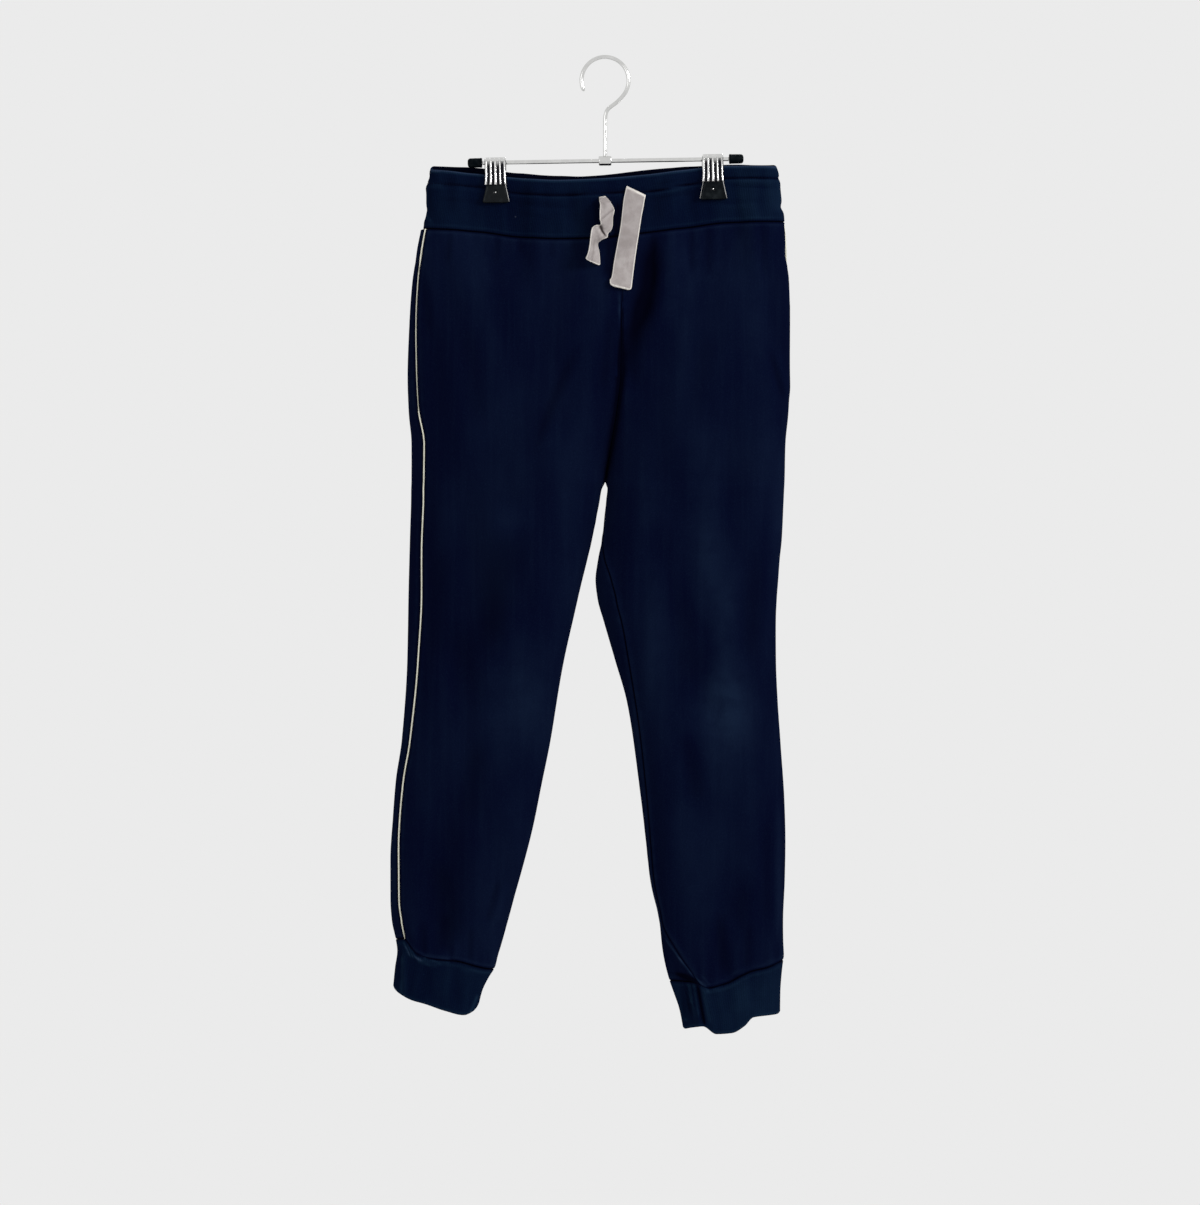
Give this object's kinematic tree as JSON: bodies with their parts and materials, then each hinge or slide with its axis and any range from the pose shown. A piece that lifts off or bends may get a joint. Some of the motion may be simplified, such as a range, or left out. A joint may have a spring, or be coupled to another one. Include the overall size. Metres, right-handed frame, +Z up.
{
  "type": "jogger sweatpants on a clip hanger",
  "caption": "Drawcord jogger sweatpants with piped side seams, rib waistband and cuffs, hanging flat from a trouser clip hanger.",
  "frame": {"origin": "highest point inside the hanger's hook, where the rail carries it", "axes": "+Z up, +X to the viewer's right when facing the front, the garment's front faces -Y"},
  "size_m": [0.372, 0.0604, 0.9087],
  "materials": {
    "navy_french_terry": "matte brushed cotton knit with a soft fuzz",
    "navy_rib": "matte fine rib knit",
    "cream_piping": "matte woven cotton",
    "grey_drawcord": "matte flat woven tape with paler edges",
    "chrome": "bright polished",
    "black_rubber": "satin moulded"
  },
  "bodies": {
    "root": {"front_right": "navy_french_terry", "front_left": "navy_french_terry", "back_right": "navy_french_terry", "back_left": "navy_french_terry", "waistband": "navy_rib", "cuff_right": "navy_rib", "cuff_left": "navy_rib", "piping_right": "cream_piping", "piping_left": "cream_piping", "drawcord_end_right": "grey_drawcord", "drawcord_end_left": "grey_drawcord", "hanger_frame": "chrome", "hanger_cap_right": "black_rubber", "hanger_cap_left": "black_rubber", "clip_spring_right": "chrome", "clip_jaw_front_right": "chrome", "clip_boot_front_right": "black_rubber", "clip_jaw_back_right": "chrome", "clip_boot_back_right": "black_rubber", "clip_spring_left": "chrome", "clip_jaw_front_left": "chrome", "clip_boot_front_left": "black_rubber", "clip_jaw_back_left": "chrome", "clip_boot_back_left": "black_rubber"}
  },
  "joints": []
}
